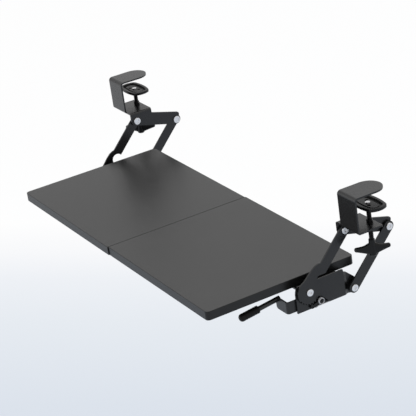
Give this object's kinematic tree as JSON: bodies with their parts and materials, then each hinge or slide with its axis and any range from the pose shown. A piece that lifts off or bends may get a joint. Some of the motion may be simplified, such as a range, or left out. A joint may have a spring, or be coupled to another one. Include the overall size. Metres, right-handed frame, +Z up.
{
  "type": "keyboard tray under desk",
  "caption": "Flat keyboard platform on parallelogram arms that hangs from two desk-edge screw clamps, swings up, down and back under the desk, with a release lever.",
  "frame": {"origin": "the desk top's upper front edge, midway between the two clamps: the desk's top is at Z 0 and its front face at Y 0", "axes": "+X to the sitter's right, +Y away from the sitter in under the desk, +Z up"},
  "size_m": [0.8726, 0.3578, 0.1979],
  "materials": {
    "black_steel": "black powder coat, fine grain, satin",
    "black_oxide": "blackened steel, satin",
    "zinc": "bright zinc plate",
    "board_black": "black laminated fibreboard, matt",
    "band_black": "black edge band, satin",
    "nylon": "black nylon, matt",
    "knob_black": "black moulded plastic, satin",
    "grip_rubber": "black soft rubber",
    "spring_steel": "bright spring wire"
  },
  "bodies": {
    "desk_clamps": {"right_clamp_bracket": "black_steel", "left_clamp_bracket": "black_steel", "clamp_thread_bushes": "black_oxide", "upper_pivot_bolts": "zinc", "upper_sleeve_nuts": "zinc"},
    "tray": {"right_board": "board_black", "left_board": "board_black", "right_edge_band": "band_black", "left_edge_band": "band_black", "right_side_plate": "black_steel", "left_side_plate": "black_steel", "front_cross_rail": "black_steel", "rear_cross_rail": "black_steel", "flange_screws": "black_oxide", "rail_screws": "black_oxide", "lower_pivot_bolts": "zinc", "lower_sleeve_nuts": "zinc", "rear_spacers": "black_oxide", "return_spring": "spring_steel", "spring_stop": "black_oxide"},
    "release_lever": {"lever_strap": "black_steel", "lever_rod": "black_steel", "lever_grip": "grip_rubber", "lock_pawl": "black_oxide", "pawl_pin": "black_oxide", "pawl_collar": "black_oxide", "pin_clip": "black_oxide"},
    "right_front_link": {"right_front_arm": "black_steel", "right_front_bushes": "nylon"},
    "right_rear_link": {"right_rear_arm": "black_steel", "right_rear_bushes": "nylon"},
    "right_knob": {"right_clamp_screw": "black_oxide", "right_wing_knob": "knob_black", "right_pad_rivet": "zinc"},
    "right_pad": {"right_pressure_pad": "knob_black"},
    "left_front_link": {"left_front_arm": "black_steel", "left_front_bushes": "nylon"},
    "left_rear_link": {"left_rear_arm": "black_steel", "left_rear_bushes": "nylon"},
    "left_knob": {"left_clamp_screw": "black_oxide", "left_wing_knob": "knob_black", "left_pad_rivet": "zinc"},
    "left_pad": {"left_pressure_pad": "knob_black"}
  },
  "joints": [
    {"name": "height_swing", "type": "hinge", "parent": "desk_clamps", "child": "right_front_link", "pos_m": [0.3628, 0.0105, -0.0753], "axis": [1, 0, 0], "range_deg": [-46.7, 95]},
    {"name": "right_rear_swing", "type": "hinge", "parent": "desk_clamps", "child": "right_rear_link", "pos_m": [0.3628, 0.09676, -0.09841], "axis": [1, 0, 0], "range_deg": [-46.7, 95]},
    {"name": "left_front_swing", "type": "hinge", "parent": "desk_clamps", "child": "left_front_link", "pos_m": [-0.3628, 0.0105, -0.0753], "axis": [1, 0, 0], "range_deg": [-46.7, 95]},
    {"name": "left_rear_swing", "type": "hinge", "parent": "desk_clamps", "child": "left_rear_link", "pos_m": [-0.3628, 0.09676, -0.09841], "axis": [1, 0, 0], "range_deg": [-46.7, 95]},
    {"name": "tray_level", "type": "hinge", "parent": "right_front_link", "child": "tray", "pos_m": [0.3628, -0.06947, -0.16016], "axis": [1, 0, 0], "range_deg": [-95, 46.7]},
    {"name": "release", "type": "hinge", "parent": "tray", "child": "release_lever", "pos_m": [0.357, -0.05097, -0.18116], "axis": [1, 0, 0], "range_deg": [0, 9], "stiffness_Nm_per_rad": 0.6, "springref_deg": -20.05, "deforming": ["return_spring"]},
    {"name": "right_pad_travel", "type": "slide", "parent": "desk_clamps", "child": "right_pad", "axis": [0, 0, 1], "range_m": [-0.015, 0.02]},
    {"name": "right_knob_turn", "type": "hinge", "parent": "right_pad", "child": "right_knob", "pos_m": [0.4003, 0.037, -0.061], "axis": [0, 0, 1], "range_deg": [-4325, 5765]},
    {"name": "left_pad_travel", "type": "slide", "parent": "desk_clamps", "child": "left_pad", "axis": [0, 0, 1], "range_m": [-0.015, 0.02]},
    {"name": "left_knob_turn", "type": "hinge", "parent": "left_pad", "child": "left_knob", "pos_m": [-0.4003, 0.037, -0.061], "axis": [0, 0, 1], "range_deg": [-4325, 5765]}
  ],
  "couplings": [
    {"joint": "right_rear_swing", "follows": "height_swing", "ratio": 1},
    {"joint": "left_front_swing", "follows": "height_swing", "ratio": 1},
    {"joint": "left_rear_swing", "follows": "height_swing", "ratio": 1},
    {"joint": "tray_level", "follows": "height_swing", "ratio": -1},
    {"joint": "right_knob_turn", "follows": "right_pad_travel", "rad_per_m": 5026.5},
    {"joint": "left_knob_turn", "follows": "left_pad_travel", "rad_per_m": 5026.5}
  ]
}
